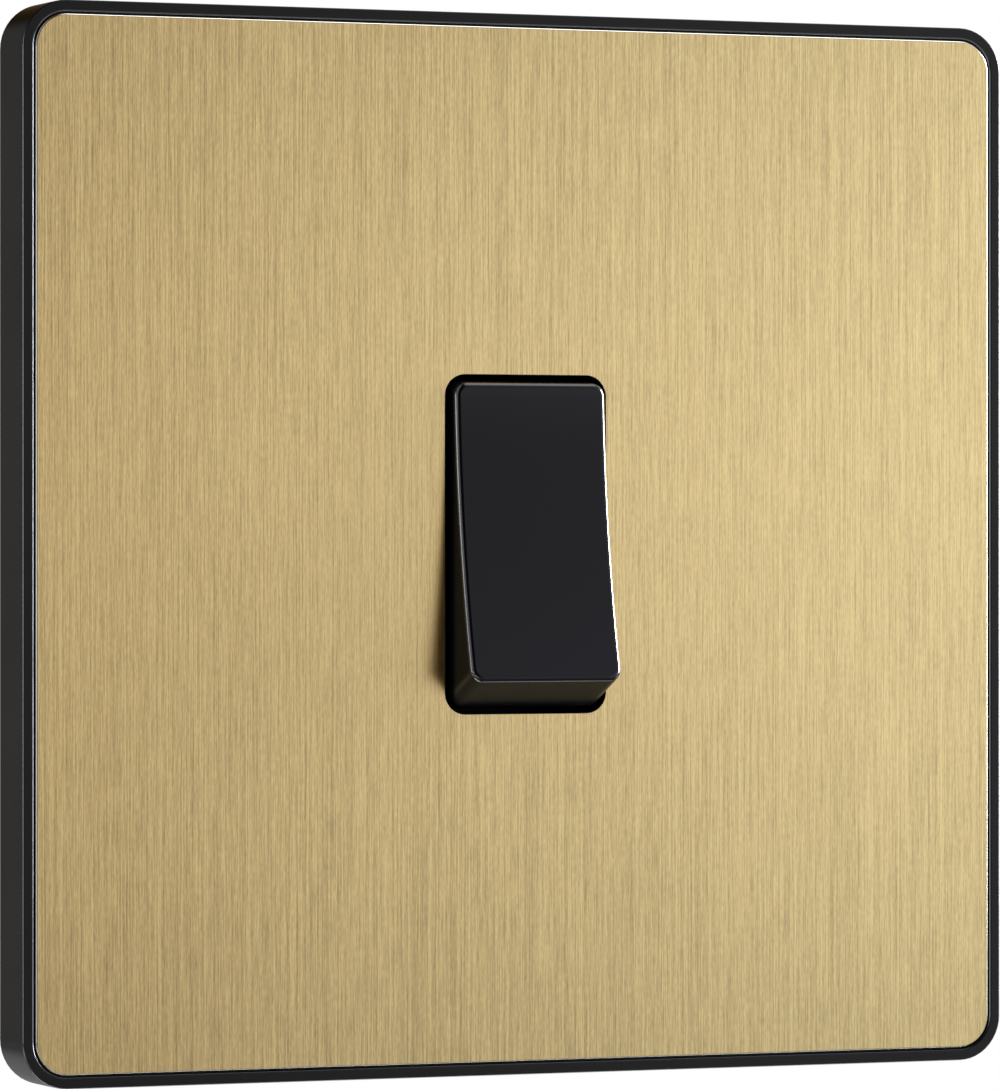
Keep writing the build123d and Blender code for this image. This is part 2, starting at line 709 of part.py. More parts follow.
# The mechanism's moulded base: contact chamber, terminal pockets, conductor ports and screw holes
with BuildPart() as mechanism_base:
    with BuildSketch(Plane.XZ.offset(base_back)):
        RectangleRounded(2 * base_half_x, 2 * base_half_z, base_corner_radius)
    extrude(amount=base_seat - base_back)
    fillet(mechanism_base.faces().sort_by(Axis.Y)[-1].edges(), base_edge_radius)
    with BuildSketch(Plane.XZ.offset(cavity_bottom)):
        Rectangle(2 * cavity_half_width, 2 * cavity_half_height)
    extrude(amount=base_seat - cavity_bottom, mode=Mode.SUBTRACT)
    with BuildSketch(Plane.XZ.offset(chamber_floor)):
        Rectangle(2 * chamber_half_x, 2 * chamber_half_z)
    extrude(amount=cavity_bottom - chamber_floor, mode=Mode.SUBTRACT)
    with BuildSketch(Plane.XZ.offset(block_back)):
        for place, end in terminal_places.values():
            with Locations((place, end * (block_inner + pocket_outer) / 2)):
                Rectangle(pocket_width, pocket_outer - block_inner)
    extrude(amount=cavity_bottom - block_back, mode=Mode.SUBTRACT)
    with BuildSketch(Plane.XZ.offset(chamber_floor)):
        for place, end in terminal_places.values():
            with Locations((place, end * (chamber_half_z + partition_wall / 2))):
                Rectangle(strip_width + 2 * block_gap, partition_wall)
    extrude(amount=strip_thickness + block_gap, mode=Mode.SUBTRACT)
    with BuildSketch(Plane.XZ.offset(base_back)):
        with Locations(clamp_places):
            Circle(clamp_head_radius + access_gap)
    extrude(amount=block_back - base_back, mode=Mode.SUBTRACT)
    for place, end in terminal_places.values():
        with BuildSketch(Plane.XY.offset(end * pocket_outer)):
            with Locations((place, -conductor_height)):
                Circle(conductor_radius + port_gap)
        extrude(amount=end * (base_half_z - pocket_outer), mode=Mode.SUBTRACT)
    port_edges = mechanism_base.edges().filter_by(GeomType.CIRCLE).group_by(Axis.Z)
    chamfer([*port_edges[0], *port_edges[-1]], port_lead_in)
    with BuildSketch(Plane.XZ.offset(base_back)):
        back_pitch = (2 * (chamber_half_z - back_core_inset) + back_core_rib) / back_cores
        with GridLocations(0, back_pitch, 1, back_cores):
            Rectangle(2 * (chamber_half_x - back_core_inset), back_pitch - back_core_rib)
    extrude(amount=chamber_floor - base_floor - base_back, mode=Mode.SUBTRACT)
    for side in (-1, 1):
        with BuildSketch(Plane.XY):
            with BuildLine():
                Polyline(
                    (side * base_half_x, latch_shoulder - latch_ramp),
                    (side * (base_half_x + latch_reach), latch_shoulder),
                    (side * base_half_x, latch_shoulder),
                    close=True,
                )
            make_face()
    extrude(amount=arm_width / 2 - arm_frame - latch_gap, both=True)
mechanism_base.part.label = "mechanism_base"
export_step(mechanism_base.part, "parts/mechanism_base.step")

# The earth strap: a foot under the earth block, a step through the frame and a finger behind the sheet
with BuildPart() as earth_strap:
    with BuildSketch(edge_plane(0).offset(earth_x)):
        with BuildLine() as strap_path:
            FilletPolyline(
                (earth_z + foot_half, foot_height),
                (strap_slot_z, foot_height),
                (strap_slot_z, bridge_height),
                (finger_start_z, bridge_height),
                (finger_z, finger_height),
                (finger_end_z, finger_height - strap_tail_drop),
                radius=strap_bend_radius,
            )
        trace(strap_path.line, strap_thickness)
    extrude(amount=strap_width / 2, both=True)
    with BuildSketch(Plane.XZ):
        with Locations((earth_x, earth_z)):
            Circle(earth_rivet_radius)
    extrude(amount=earth_recess, mode=Mode.SUBTRACT)
earth_strap.part.label = "earth_strap"
export_step(earth_strap.part, "parts/earth_strap.step")

# The earth block, staked through the strap and the mounting frame
with BuildPart() as earth_terminal:
    with BuildSketch(Plane.XZ.offset(earth_block_back)):
        with Locations((earth_x, earth_z)):
            Rectangle(earth_block_width, earth_block_width)
    extrude(amount=earth_block_height)
    chamfer(earth_terminal.edges().filter_by(Axis.Y), block_gap)
    with BuildSketch(Plane.XZ.offset(earth_recess - strap_thickness)):
        with Locations((earth_x, earth_z)):
            Circle(earth_rivet_radius)
    extrude(amount=yoke_thickness - earth_recess + strap_thickness)
    with BuildSketch(Plane.XZ.offset(yoke_thickness)):
        with Locations((earth_x, earth_z)):
            Circle(earth_rivet_head_radius)
    extrude(amount=earth_rivet_head_height)
    with BuildSketch(Plane.XY.offset(earth_z)):
        with Locations((earth_x, -earth_conductor)):
            Circle(conductor_radius)
    extrude(amount=earth_block_width / 2, both=True, mode=Mode.SUBTRACT)
    with BuildSketch(Plane.XZ.offset(earth_block_back)):
        with Locations((earth_x, earth_z)):
            Circle(clamp_screw_radius + clamp_screw_gap)
    extrude(amount=earth_conductor - earth_block_back, mode=Mode.SUBTRACT)
earth_terminal.part.label = "earth_terminal"
export_step(earth_terminal.part, "parts/earth_terminal.step")

# The earth block's clamp screw
earth_clamp_tip = earth_conductor - conductor_radius - clamp_tip_gap
earth_clamp_head = earth_block_back - clamp_head_lift
with BuildPart() as earth_screw:
    with BuildSketch(Plane.XZ.offset(earth_clamp_head)):
        with Locations((earth_x, earth_z)):
            Circle(clamp_screw_radius)
    extrude(amount=earth_clamp_tip - earth_clamp_head)
    with BuildSketch(Plane.XZ.offset(earth_clamp_head)):
        with Locations((earth_x, earth_z)):
            Circle(clamp_head_radius)
    extrude(amount=-clamp_head_height)
    chamfer(earth_screw.edges().group_by(Axis.Y)[-1], clamp_tip_gap)
    with BuildSketch(Plane.XZ.offset(earth_clamp_head - clamp_head_height)):
        with Locations((earth_x, earth_z)):
            Rectangle(2 * clamp_head_radius, drive_slot_width)
    extrude(amount=drive_slot_depth, mode=Mode.SUBTRACT)
earth_screw.part.label = "earth_screw"
export_step(earth_screw.part, "parts/earth_screw.step")
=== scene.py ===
import json
import math

import bmesh
import bpy
import numpy as np
from mathutils import Matrix, Vector


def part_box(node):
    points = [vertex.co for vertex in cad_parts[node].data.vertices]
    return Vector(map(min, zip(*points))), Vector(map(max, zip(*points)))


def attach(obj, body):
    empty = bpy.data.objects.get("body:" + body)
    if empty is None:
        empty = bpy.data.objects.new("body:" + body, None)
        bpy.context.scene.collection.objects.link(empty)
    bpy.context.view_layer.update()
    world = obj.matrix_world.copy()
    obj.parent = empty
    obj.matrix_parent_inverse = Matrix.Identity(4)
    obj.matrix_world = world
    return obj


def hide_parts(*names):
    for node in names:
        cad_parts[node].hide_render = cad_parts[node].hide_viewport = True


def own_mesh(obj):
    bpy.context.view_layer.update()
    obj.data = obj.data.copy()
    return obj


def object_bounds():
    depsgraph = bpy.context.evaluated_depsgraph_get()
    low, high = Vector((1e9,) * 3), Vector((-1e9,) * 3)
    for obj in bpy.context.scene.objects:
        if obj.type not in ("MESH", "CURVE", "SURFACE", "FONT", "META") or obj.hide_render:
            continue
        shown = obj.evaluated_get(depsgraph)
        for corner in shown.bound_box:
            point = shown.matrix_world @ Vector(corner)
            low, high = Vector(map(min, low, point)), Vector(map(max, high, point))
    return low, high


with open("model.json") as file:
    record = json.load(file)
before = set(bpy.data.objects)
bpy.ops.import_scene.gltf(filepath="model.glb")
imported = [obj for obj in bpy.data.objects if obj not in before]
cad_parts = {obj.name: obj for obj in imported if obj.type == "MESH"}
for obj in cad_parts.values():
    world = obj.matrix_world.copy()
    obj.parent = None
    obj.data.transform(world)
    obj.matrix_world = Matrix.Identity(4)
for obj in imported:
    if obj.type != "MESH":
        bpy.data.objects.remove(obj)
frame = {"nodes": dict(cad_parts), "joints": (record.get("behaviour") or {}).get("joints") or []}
nodes = frame["nodes"]
cad_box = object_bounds()


# The mounting frame: one dark glass-filled nylon moulding that two screws hold to the wall box.
# Its tool was spark-eroded, so the skin has a fine even grain, with faint flow marks across it.
def feed(tree, socket, value):
    """Gives a socket another node's output, or else a plain value."""
    if isinstance(value, bpy.types.NodeSocket):
        tree.links.new(value, socket)
    else:
        socket.default_value = value


def combine(tree, operation, *values):
    """One operation on numbers and other nodes' outputs."""
    node = tree.nodes.new("ShaderNodeMath")
    node.operation = operation
    for socket, value in zip(node.inputs, values):
        feed(tree, socket, value)
    return node.outputs[0]


def noise(tree, place, scale, detail):
    """Noise that swings about nought."""
    middle = 0.5
    node = tree.nodes.new("ShaderNodeTexNoise")
    node.inputs["Detail"].default_value = detail
    feed(tree, node.inputs["Scale"], scale)
    tree.links.new(place, node.inputs["Vector"])
    return combine(tree, "SUBTRACT", node.outputs["Fac"], middle)


def finish_group(name, **kinds):
    """A new finish group with the inputs named, which puts out a colour, a roughness and a normal."""
    group = bpy.data.node_groups.new(name, "ShaderNodeTree")
    for socket, kind in kinds.items():
        group.interface.new_socket(socket, in_out="INPUT", socket_type="NodeSocket" + kind)
    for socket, kind in (("Colour", "Color"), ("Roughness", "Float"), ("Normal", "Vector")):
        group.interface.new_socket(socket, in_out="OUTPUT", socket_type="NodeSocket" + kind)
    given = group.nodes.new("NodeGroupInput").outputs
    place = group.nodes.new("ShaderNodeTexCoord").outputs["Object"]
    return group, given, place


def put_out(group, given, tone, rough, relief):
    """Sends a finish out: its colour times one plus a tone, a roughness, and a bump from a relief."""
    relief_height = 0.00002
    shade = group.nodes.new("ShaderNodeVectorMath")
    shade.operation = "SCALE"
    group.links.new(given["Colour"], shade.inputs[0])
    group.links.new(combine(group, "ADD", 1, tone), shade.inputs["Scale"])
    bump = group.nodes.new("ShaderNodeBump")
    bump.inputs["Distance"].default_value = relief_height
    group.links.new(given["Depth"], bump.inputs["Strength"])
    group.links.new(relief, bump.inputs["Height"])
    out = group.nodes.new("NodeGroupOutput").inputs
    group.links.new(shade.outputs[0], out["Colour"])
    group.links.new(rough, out["Roughness"])
    group.links.new(bump.outputs[0], out["Normal"])


def skin_group():
    """A moulded skin: fine grain gives the bump, and broad flow marks shift colour and roughness a little."""
    grain_detail, flow_scale, flow_detail = 2, 90, 4
    group, given, place = finish_group(
        "moulded_skin", Colour="Color", Roughness="Float", Grain="Float", Depth="Float", Mottle="Float"
    )
    grain = noise(group, place, given["Grain"], grain_detail)
    tone = combine(group, "MULTIPLY", noise(group, place, flow_scale, flow_detail), given["Mottle"])
    put_out(group, given, tone, combine(group, "ADD", given["Roughness"], tone), grain)
    return group


def finish_material(name, group, own, **values):
    """A material whose colour, roughness and normal come from a finish group with the values given.

    What is the same all over is set on the shader's own sockets.
    """
    material = bpy.data.materials.new(name)
    material.use_nodes = True
    tree = material.node_tree
    shader = tree.nodes["Principled BSDF"]
    finish = tree.nodes.new("ShaderNodeGroup")
    finish.node_tree = group
    finish.name = "finish"
    for socket, value in values.items():
        finish.inputs[socket].default_value = value
    for socket, value in own.items():
        shader.inputs[socket].default_value = value
    for output, socket in (("Colour", "Base Color"), ("Roughness", "Roughness"), ("Normal", "Normal")):
        tree.links.new(finish.outputs[output], shader.inputs[socket])
    return material


def coat_node(name, material):
    """Puts a material in the one slot of a CAD node."""
    slots = nodes[name].data.materials
    slots.clear()
    slots.append(material)


moulded_skin = skin_group()
dark_moulding = finish_material(
    "dark_moulding", moulded_skin, {"Specular IOR Level": 0.35},
    Colour=(0.012, 0.012, 0.013, 1), Roughness=0.55, Grain=6000, Depth=0.25, Mottle=0.2,
)
coat_node("mounting_frame", dark_moulding)


# The two fixing screws: zinc-plated steel, with a rolled thread and a turned pan head with a slot.
# They hold the mounting frame to the lugs of the wall box.
def product(tree, first, second):
    """Two vectors multiplied part by part."""
    node = tree.nodes.new("ShaderNodeVectorMath")
    node.operation = "MULTIPLY"
    feed(tree, node.inputs[0], first)
    feed(tree, node.inputs[1], second)
    return node.outputs[0]


def lines_group():
    """Drawn or brushed metal: four layers of stretched noise, each shorter than the last, add up to lines.

    With a broad cloud they shift colour and roughness, and alone they give the bump.
    """
    layer_shares = (0.45, 0.5, 0.55, 0.4)
    streak_scale, streak_detail, cloud_scale, cloud_detail = 1, 0, 60, 3
    rough_share = 0.1
    group, given, place = finish_group(
        "brushed_lines", Colour="Color", Roughness="Float", Across="Vector", Shorter="Vector",
        Contrast="Float", Depth="Float", Mottle="Float",
    )
    group.interface.items_tree["Shorter"].default_value = (1, 1, 1)
    stretch, lines = given["Across"], 0
    for share in layer_shares:
        streak = noise(group, product(group, place, stretch), streak_scale, streak_detail)
        lines = combine(group, "MULTIPLY_ADD", streak, share, lines)
        stretch = product(group, stretch, given["Shorter"])
    cloud = combine(group, "MULTIPLY", noise(group, place, cloud_scale, cloud_detail), given["Mottle"])
    tone = combine(group, "MULTIPLY_ADD", lines, given["Contrast"], cloud)
    rough = combine(group, "MULTIPLY_ADD", tone, rough_share, given["Roughness"])
    put_out(group, given, tone, rough, lines)
    return group


brushed_lines = lines_group()
bare_metal = {"Metallic": 1}
zinc_steel = finish_material(
    "zinc_steel", brushed_lines, bare_metal,
    Colour=(0.56, 0.57, 0.58, 1), Roughness=0.34, Across=(900, 5000, 900),
    Contrast=0.25, Depth=0.1, Mottle=0.3,
)
coat_node("fixing_screws", zinc_steel)


def grid_mesh(points):
    """A mesh over a grid of points, rows by columns by three, with a quad between each four neighbours."""
    rows, columns = points.shape[:2]
    corner = np.arange(rows * columns).reshape(rows, columns)
    quads = np.stack((corner[:-1, :-1], corner[:-1, 1:], corner[1:, 1:], corner[1:, :-1]), axis=-1)
    return points.reshape(-1, 3), quads.reshape(-1, 4)


def weld(mesh):
    """Merges points that meet and turns every face outwards."""
    weld_distance = 1e-7
    welded = bmesh.new()
    welded.from_mesh(mesh)
    bmesh.ops.remove_doubles(welded, verts=welded.verts, dist=weld_distance)
    bmesh.ops.recalc_face_normals(welded, faces=welded.faces)
    welded.to_mesh(mesh)
    welded.free()


def add_piece(name, surfaces, material, sharp_degrees):
    """One mesh object from several grids, welded where they meet, with its sharper edges kept crisp."""
    points, quads, count = [], [], 0
    for surface in surfaces:
        own_points, own_quads = grid_mesh(surface)
        points.append(own_points)
        quads.append(own_quads + count)
        count += len(own_points)
    mesh = bpy.data.meshes.new(name)
    mesh.from_pydata(np.concatenate(points), [], np.concatenate(quads))
    weld(mesh)
    mesh.polygons.foreach_set("use_smooth", np.ones(len(mesh.polygons), dtype=bool))
    mesh.set_sharp_from_angle(angle=math.radians(sharp_degrees))
    mesh.materials.append(material)
    piece = bpy.data.objects.new(name, mesh)
    bpy.context.scene.collection.objects.link(piece)
    return piece


screw_low, screw_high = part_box("fixing_screws")
screw_pitch = 0.0603
head_radius = (screw_high.z - screw_low.z) / 2
head_top, head_under, screw_end = screw_low.y, -0.0012, screw_high.y
head_round, slot_half, slot_floor = 0.0007, 0.00045, head_top + 0.0011
neck_radius, crest_radius, root_radius, point_radius = 0.00145, 0.00175, 0.00140, 0.00125
thread_pitch, thread_start = 0.0006, 0.0
screw_sharp_degrees = 35


def thread_surface():
    """The shank: a profile of root and crest repeats along the axis, and each row climbs one pitch per turn.

    A plain neck comes before it, a cone trims its point, and a pole closes each end.
    """
    around_steps = 48
    profile_shares = np.array((0.0, 0.15, 0.45, 0.6))
    profile = np.array((root_radius, root_radius, crest_radius, crest_radius))
    turns = int(np.ceil((screw_end - thread_start) / thread_pitch)) + 1
    around = np.linspace(0, 2 * np.pi, around_steps + 1)
    along = (np.arange(-1, turns)[:, None] + profile_shares).reshape(-1, 1) * thread_pitch + thread_start
    depth = np.clip(along + thread_pitch * around / (2 * np.pi), thread_start, screw_end)
    radius = np.minimum(np.tile(profile, turns + 1)[:, None], point_radius + screw_end - depth)
    level = np.ones((1, len(around)))
    neck_depth = np.concatenate((head_under * level, head_under * level, thread_start * level))
    neck = np.concatenate((0 * level, neck_radius * level, neck_radius * level))
    depth = np.concatenate((neck_depth, depth, screw_end * level))
    radius = np.concatenate((neck, radius, 0 * level))
    return np.stack((radius * np.cos(around), depth, radius * np.sin(around)), axis=-1)


def head_surfaces():
    """The pan head: a disc of chords with a rounded rim and a sunk slot.

    A wall runs down from its rim, and a disc that meets in a pole closes the underside.
    """
    chord_steps = 32
    swing = np.sin(np.linspace(-np.pi / 2, np.pi / 2, chord_steps + 1))
    edges = np.array((-slot_half, -slot_half, slot_half, slot_half))
    across = np.sort(np.concatenate((head_radius * swing[np.abs(head_radius * swing) > slot_half], edges)))
    sunk = (np.abs(across) <= slot_half).astype(float)
    first, last = np.flatnonzero(sunk)[[0, -1]]
    sunk[[first, last]] = 0
    half = np.sqrt(np.maximum(head_radius**2 - across**2, 0))
    along = half[:, None] * swing
    past = np.maximum(np.hypot(across[:, None], along) - head_radius + head_round, 0)
    rim = head_top + head_round - np.sqrt(np.maximum(head_round**2 - past**2, 0))
    depth = np.where(sunk[:, None] > 0, slot_floor, rim)
    cap = np.stack((along, depth, np.broadcast_to(across[:, None], along.shape)), axis=-1)
    edge = np.concatenate((cap[:, 0], cap[::-1, -1]))
    under = edge * (1, 0, 1) + (0, head_under, 0)
    return cap, np.stack((edge, under)), np.stack((under, under * (0, 1, 0)))


screw_surfaces = [
    surface + np.array((side * screw_pitch / 2, 0, 0))
    for side in (-1, 1)
    for surface in (thread_surface(), *head_surfaces())
]
threaded_screws = add_piece("threaded_fixing_screws", screw_surfaces, zinc_steel, screw_sharp_degrees)
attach(threaded_screws, "wall_side")
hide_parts("fixing_screws")

# The mechanism's base: a pale heat-proof moulding that snaps into the back of the mounting frame on two arms.
# The names of its three terminals stand a little proud of its back, cut into the same tool.
pale_moulding = finish_material(
    "pale_moulding", moulded_skin, {"Specular IOR Level": 0.4},
    Colour=(0.54, 0.53, 0.49, 1), Roughness=0.5, Grain=7000, Depth=0.2, Mottle=0.08,
)
coat_node("mechanism_base", pale_moulding)
base_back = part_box("mechanism_base")[1].y
mark_raise, mark_sink = 0.0002, 0.00005
capital_share, letter_steps = 0.7, 4


def raised_mark(word, height, x, z):
    """A word on the base's back: letters of one thickness, part sunk, turned to be read from behind."""
    curve = bpy.data.curves.new(word, "FONT")
    curve.body, curve.size, curve.extrude = word, height / capital_share, (mark_raise + mark_sink) / 2
    curve.align_x, curve.align_y, curve.resolution_u = "CENTER", "CENTER", letter_steps
    letters = bpy.data.objects.new(word, curve)
    bpy.context.scene.collection.objects.link(letters)
    mesh = bpy.data.meshes.new_from_object(letters.evaluated_get(bpy.context.evaluated_depsgraph_get()))
    bpy.data.objects.remove(letters)
    y = base_back + (mark_raise - mark_sink) / 2
    mesh.transform(Matrix(((-1, 0, 0, x), (0, 0, 1, y), (0, 1, 0, z), (0, 0, 0, 1))))
    weld(mesh)
    mesh.materials.clear()
    mesh.materials.append(pale_moulding)
    mark = bpy.data.objects.new("mark_" + word.lower(), mesh)
    bpy.context.scene.collection.objects.link(mark)
    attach(mark, "wall_side")


raised_mark("L1", height=0.0026, x=0.0075, z=0.018)
raised_mark("L2", height=0.0021, x=-0.0056, z=-0.0131)
raised_mark("COM", height=0.0021, x=0.0056, z=-0.0131)

# The terminal blocks: sawn lengths of extruded brass bar, left with their drawn skin. Each is drilled for
# its conductor and tapped for its clamp screw. Three drop into the base, and the earth block is riveted
# to the mounting frame.
terminal_brass = finish_material(
    "terminal_brass", brushed_lines, bare_metal,
    Colour=(0.66, 0.47, 0.17, 1), Roughness=0.3, Across=(700, 700, 9000),
    Contrast=0.22, Depth=0.08, Mottle=0.25,
)
for name in ("l1_terminal", "l2_terminal", "common_terminal", "earth_terminal"):
    coat_node(name, terminal_brass)

# The clamp screws: slotted screws of the same zinc-plated steel as the fixing screws.
# Each turns in its terminal block and presses on the conductor in the block's bore.
for name in ("terminal_screws", "earth_screw"):
    coat_node(name, zinc_steel)

# The contact strips, the see-saw and the earth strap: blanked and bent from rolled copper alloy.
# The strips are pressed into the base with the terminal blocks, and the see-saw rocks on its saddle.
copper_strip = finish_material(
    "copper_strip", brushed_lines, bare_metal,
    Colour=(0.58, 0.27, 0.14, 1), Roughness=0.32, Across=(8000, 8000, 150),
    Contrast=0.2, Depth=0.06, Mottle=0.3,
)
for name in ("moving_contact", "common_contact", "l1_contact", "l2_contact", "earth_strap"):
    coat_node(name, copper_strip)

# The contact tips: small domed and flat buttons of silver alloy.
# They are riveted on, two to the see-saw and one to each switched strip.
silver_tip = finish_material(
    "silver_tip", brushed_lines, bare_metal,
    Colour=(0.75, 0.74, 0.71, 1), Roughness=0.28, Across=(3000, 3000, 3000),
    Contrast=0.15, Depth=0.05, Mottle=0.2,
)
for name in ("moving_contact_tips", "fixed_contact_tips"):
    coat_node(name, silver_tip)

# The plunger: a round-nosed cup moulded in natural nylon, left undyed.
# It slides in the rocker's barrel and its nose tips the see-saw over.
natural_nylon = finish_material(
    "natural_nylon", moulded_skin, {},
    Colour=(0.70, 0.66, 0.55, 1), Roughness=0.4, Grain=9000, Depth=0.1, Mottle=0.08,
)
coat_node("plunger", natural_nylon)

# The plunger's spring: drawn steel wire coiled in six turns, between the plunger's floor and the end of
# the rocker's barrel. It shortens as the plunger slides in.
spring_steel = finish_material(
    "spring_steel", brushed_lines, bare_metal,
    Colour=(0.42, 0.43, 0.44, 1), Roughness=0.3, Across=(4000, 4000, 4000),
    Contrast=0.2, Depth=0.05, Mottle=0.2,
)
coat_node("plunger_spring", spring_steel)
joints = {joint["name"]: joint for joint in frame["joints"]}
hinge = np.array(joints["rocker_tilt"]["pos_m"])
push = np.array(joints["plunger_slide"]["axis"])
wire_radius, coil_radius, coil_turns, end_gap = 0.00022, 0.00151, 6, 0.00005
seat_ahead, floor_behind = 0.005, 0.0058
coil_sharp_degrees = 60


def coil_surface():
    """A round wire carried along a helix about the plunger's axis, from a quarter turn before the X axis.

    A pole closes each end of the wire.
    """
    turn_steps, wire_steps = 24, 12
    share = np.linspace(0, 1, turn_steps * coil_turns + 1)[:, None]
    turn = 2 * np.pi * coil_turns * share - np.pi / 2
    side = np.array((1, 0, 0))
    up = np.cross(push, side)
    first = wire_radius + end_gap - floor_behind
    height = seat_ahead + floor_behind - 2 * (wire_radius + end_gap)
    outward = np.cos(turn) * side + np.sin(turn) * up
    line = hinge + (first + height * share) * push + coil_radius * outward
    along = 2 * np.pi * coil_turns * coil_radius * (np.cos(turn) * up - np.sin(turn) * side) + height * push
    across = np.cross(along / np.linalg.norm(along, axis=1, keepdims=True), outward)
    around = np.linspace(0, 2 * np.pi, wire_steps + 1)[:, None]
    wire = wire_radius * (np.cos(around) * outward[:, None] + np.sin(around) * across[:, None])
    tube = line[:, None] + wire
    ends = np.broadcast_to(line[[0, -1]][:, None], (2, len(around), 3))
    return np.concatenate((ends[:1], tube, ends[1:]))


coil_spring = add_piece("coil_spring", [coil_surface()], spring_steel, coil_sharp_degrees)
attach(coil_spring, "rocker")
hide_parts("plunger_spring")
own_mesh(coil_spring)

# The rocker: a black moulding from a polished tool, so its dished face is smooth and half glossy.
# Its ends are duller, and the radii along its sides are polished bright. It clips into the mounting frame
# on two trunnions.
black_rocker = finish_material(
    "black_rocker", moulded_skin, {"Coat Roughness": 0.06, "Coat IOR": 2.2},
    Colour=(0.0015, 0.002, 0.005, 1), Roughness=0.16, Grain=5000, Depth=0.015, Mottle=0.08,
)


def ramp(tree, value, start, end, first, last):
    """A straight ramp from the first value at its start to the last at its end, held level beyond them."""
    node = tree.nodes.new("ShaderNodeMapRange")
    for socket, number in (("From Min", start), ("From Max", end), ("To Min", first), ("To Max", last)):
        node.inputs[socket].default_value = number
    tree.links.new(value, node.inputs["Value"])
    return node.outputs[0]


def parts(tree, vector):
    """A vector's own X, Y and Z."""
    apart = tree.nodes.new("ShaderNodeSeparateXYZ")
    tree.links.new(vector, apart.inputs[0])
    return apart.outputs


def facing(tree):
    """Which way the piece's surface faces, as X, Y and Z."""
    return parts(tree, tree.nodes.new("ShaderNodeTexCoord").outputs["Normal"])


tree = black_rocker.node_tree
shader, finish = tree.nodes["Principled BSDF"].inputs, tree.nodes["finish"].outputs
turned = facing(tree)
dulling = ramp(tree, turned["Y"], start=-0.75, end=-0.45, first=0, last=0.15)
tree.links.new(combine(tree, "ADD", finish["Roughness"], dulling), shader["Roughness"])
sideways = combine(tree, "MULTIPLY", turned["X"], turned["X"])
past_face = ramp(tree, sideways, start=0.06, end=0.15, first=0, last=1)
before_wall = ramp(tree, turned["Y"], start=-0.5, end=-0.43, first=1, last=0)
tree.links.new(combine(tree, "MULTIPLY", past_face, before_wall), shader["Coat Weight"])
coat_node("rocker", black_rocker)

# The front surround: a black moulding with a satin skin that clips over the mounting frame by its hooks.
# It carries the metal sheet in a shallow seat, and the radii along its thin rim are polished bright.
black_surround = finish_material(
    "black_surround", moulded_skin, {"Specular IOR Level": 0.35, "Coat Roughness": 0.06, "Coat IOR": 3.0},
    Colour=(0.006, 0.006, 0.006, 1), Roughness=0.3, Grain=6000, Depth=0.1, Mottle=0.15,
)
tree = black_surround.node_tree
shader = tree.nodes["Principled BSDF"].inputs
turned = facing(tree)
past_face = ramp(tree, turned["Y"], start=-0.98, end=-0.93, first=0, last=1)
before_wall = ramp(tree, turned["Y"], start=-0.35, end=-0.2, first=1, last=0)
below_top = ramp(tree, turned["Z"], start=0.1, end=0.3, first=1, last=0)
rim_radius = combine(tree, "MULTIPLY", past_face, before_wall)
tree.links.new(combine(tree, "MULTIPLY", rim_radius, below_top), shader["Coat Weight"])
coat_node("front_frame", black_surround)

# The face sheet: metal with a brass finish, brushed up and down with fine abrasive and lacquered.
# Its edges are cut after that, so they are paler and more polished. It is glued into the surround's seat.
brushed_sheet = finish_material(
    "brushed_sheet", brushed_lines, {"Metallic": 1, "Anisotropic": 0.5},
    Colour=(0.85, 0.667, 0.314, 1), Roughness=0.24, Across=(6600, 6600, 16), Shorter=(1.07, 1.07, 4.6),
    Contrast=0.85, Depth=0.12, Mottle=0.05,
)


def mix_colour(tree, factor, first, second):
    """A colour between two, by a factor from nought to one."""
    node = tree.nodes.new("ShaderNodeMix")
    node.data_type = "RGBA"
    for socket, value in (("Factor", factor), ("A", first), ("B", second)):
        feed(tree, node.inputs[socket], value)
    return node.outputs["Result"]


cut_colour = (0.97, 0.94, 0.86, 1)
tree = brushed_sheet.node_tree
shader, finish = tree.nodes["Principled BSDF"].inputs, tree.nodes["finish"].outputs
turned = facing(tree)
cut_edge = ramp(tree, turned["Y"], start=-0.98, end=-0.9, first=0, last=1)
tree.links.new(mix_colour(tree, cut_edge, finish["Colour"], cut_colour), shader["Base Color"])
polish = ramp(tree, turned["Y"], start=-0.98, end=-0.9, first=0, last=0.12)
tree.links.new(combine(tree, "SUBTRACT", finish["Roughness"], polish), shader["Roughness"])
coat_node("face_plate", brushed_sheet)

# The studio floor: a plain pale sheet well below the plate. The camera sees it almost white, and metal sees
# a soft glow that is dim near the plate and far out.
floor_reach, floor_drop = 2.0, 0.25
floor_level = cad_box[0].z - floor_drop
floor_grey, floor_roughness, floor_in_view = (0.2, 0.2, 0.2, 1), 0.9, 0.8
white = (1, 1, 1, 1)
floor_corners = np.array(((-1, -1, 0), (1, -1, 0), (1, 1, 0), (-1, 1, 0))) * floor_reach + (0, 0, floor_level)
floor_mesh = bpy.data.meshes.new("floor")
floor_mesh.from_pydata(floor_corners, [], [(0, 1, 2, 3)])
floor = bpy.data.objects.new("floor", floor_mesh)
bpy.context.scene.collection.objects.link(floor)
pale_floor = bpy.data.materials.new("pale_floor")
pale_floor.use_nodes = True
tree = pale_floor.node_tree
shader = tree.nodes["Principled BSDF"].inputs
shader["Base Color"].default_value = floor_grey
shader["Roughness"].default_value = floor_roughness
shader["Emission Color"].default_value = white
path = tree.nodes.new("ShaderNodeLightPath").outputs
away = tree.nodes.new("ShaderNodeVectorMath")
away.operation = "LENGTH"
tree.links.new(tree.nodes.new("ShaderNodeTexCoord").outputs["Object"], away.inputs[0])
inner_glow = ramp(tree, away.outputs["Value"], start=0.5, end=0.8, first=0.08, last=0.5)
outer_glow = ramp(tree, away.outputs["Value"], start=1.0, end=1.5, first=1, last=0)
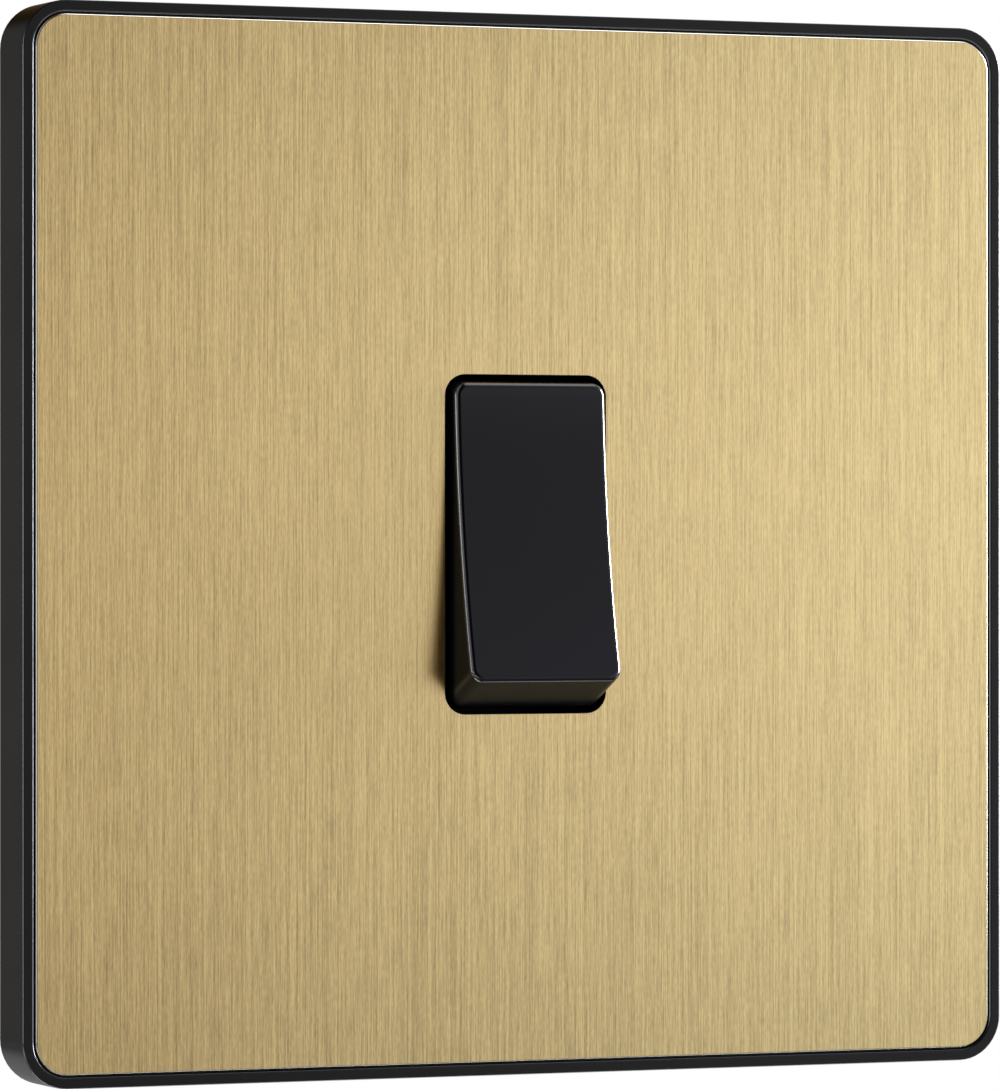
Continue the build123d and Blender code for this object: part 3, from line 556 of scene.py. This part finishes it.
in_metal = combine(tree, "MULTIPLY", path["Is Glossy Ray"], combine(tree, "MULTIPLY", inner_glow, outer_glow))
in_view = combine(tree, "MULTIPLY", path["Is Camera Ray"], floor_in_view)
tree.links.new(combine(tree, "MAXIMUM", in_view, in_metal), shader["Emission Strength"])
floor_mesh.materials.append(pale_floor)

# The studio's walls: plain white to the camera. To the object they are a bright panel that fills the right
# and warms towards the front, and a weaker one at the far left. Both dim towards the floor and the ceiling.
world = bpy.data.worlds.new("studio")
bpy.context.scene.world = world
world.use_nodes = True
tree = world.node_tree
background = tree.nodes["Background"].inputs
warm_shade, cool_white = (0.32, 0.17, 0.01, 1), (1.74, 1.86, 2.14, 1)
outward = tree.nodes.new("ShaderNodeTexCoord").outputs["Generated"]
heading = tree.nodes.new("ShaderNodeVectorMath")
heading.operation = "NORMALIZE"
tree.links.new(product(tree, outward, (1, 1, 0)), heading.inputs[0])
around, height = parts(tree, heading.outputs[0]), parts(tree, outward)["Z"]
right_panel = ramp(tree, around["X"], start=-0.05, end=0.2, first=0.1, last=1)
left_side = ramp(tree, around["X"], start=-0.55, end=-0.8, first=0, last=0.6)
left_front = ramp(tree, around["Y"], start=-0.35, end=-0.05, first=1, last=0)
panels = combine(tree, "MAXIMUM", right_panel, combine(tree, "MULTIPLY", left_side, left_front))
low_fade = ramp(tree, height, start=-0.24, end=0.03, first=0.12, last=1)
high_fade = ramp(tree, height, start=0.03, end=0.12, first=1, last=0.41)
strength = combine(tree, "MULTIPLY", combine(tree, "MULTIPLY", panels, low_fade), high_fade)
right_cool = ramp(tree, around["X"], start=0.2, end=0.62, first=0, last=1)
left_cool = ramp(tree, around["X"], start=-0.45, end=-0.6, first=0, last=1)
tint = mix_colour(tree, combine(tree, "MAXIMUM", right_cool, left_cool), warm_shade, cool_white)
in_view = tree.nodes.new("ShaderNodeLightPath").outputs["Is Camera Ray"]
tree.links.new(mix_colour(tree, in_view, tint, white), background["Color"])
tree.links.new(combine(tree, "MAXIMUM", strength, in_view), background["Strength"])


# The studio's lamps: soft boxes turned to the plate. Two tall strips draw the bright lines on the radii,
# a large one above gives the main light, and two weak ones lift the lower edges and the back.
def softbox(name, at, width, height, power, spread=180):
    """A rectangular soft light that faces the plate's centre, its beam narrowed to a spread in degrees."""
    lamp = bpy.data.lights.new(name, "AREA")
    lamp.shape = "RECTANGLE"
    lamp.size, lamp.size_y, lamp.energy, lamp.spread = width, height, power, math.radians(spread)
    light = bpy.data.objects.new(name, lamp)
    turn = (-Vector(at)).to_track_quat("-Z", "Y").to_matrix().to_4x4()
    light.matrix_world = Matrix.Translation(at) @ turn
    light.visible_camera = False
    bpy.context.scene.collection.objects.link(light)


softbox("right_strip", at=(0.897, -0.078, 0.20), width=0.16, height=0.58, power=0.75, spread=36)
softbox("left_strip", at=(-0.895, -0.094, 0.10), width=0.09, height=0.70, power=0.04, spread=36)
softbox("top", at=(0.35, -0.15, 0.80), width=0.5, height=0.4, power=1.7)
softbox("below", at=(0.0, -0.01, -0.24), width=0.4, height=0.06, power=0.22)
softbox("behind_left", at=(-0.39, 0.92, 0.10), width=0.6, height=0.6, power=0.2)

# The camera stands where the photograph was taken from: level with the plate's centre and 23 degrees
# to its left. A long lens keeps the plate's edges nearly parallel.
camera_place, camera_aim = (-0.240939, -0.573633, 0.000405), (0.387377, 0.921921, -0.000683)
camera_data = bpy.data.cameras.new("camera")
camera_data.lens = 227.48
camera_data.sensor_width = 36
camera_data.clip_start, camera_data.clip_end = 0.01, 50
camera = bpy.data.objects.new("camera", camera_data)
camera.location = camera_place
camera.rotation_mode = "QUATERNION"
camera.rotation_quaternion = Vector(camera_aim).to_track_quat("-Z", "Y")
bpy.context.scene.collection.objects.link(camera)
bpy.context.scene.camera = camera
bpy.context.scene.view_settings.view_transform = "Standard"
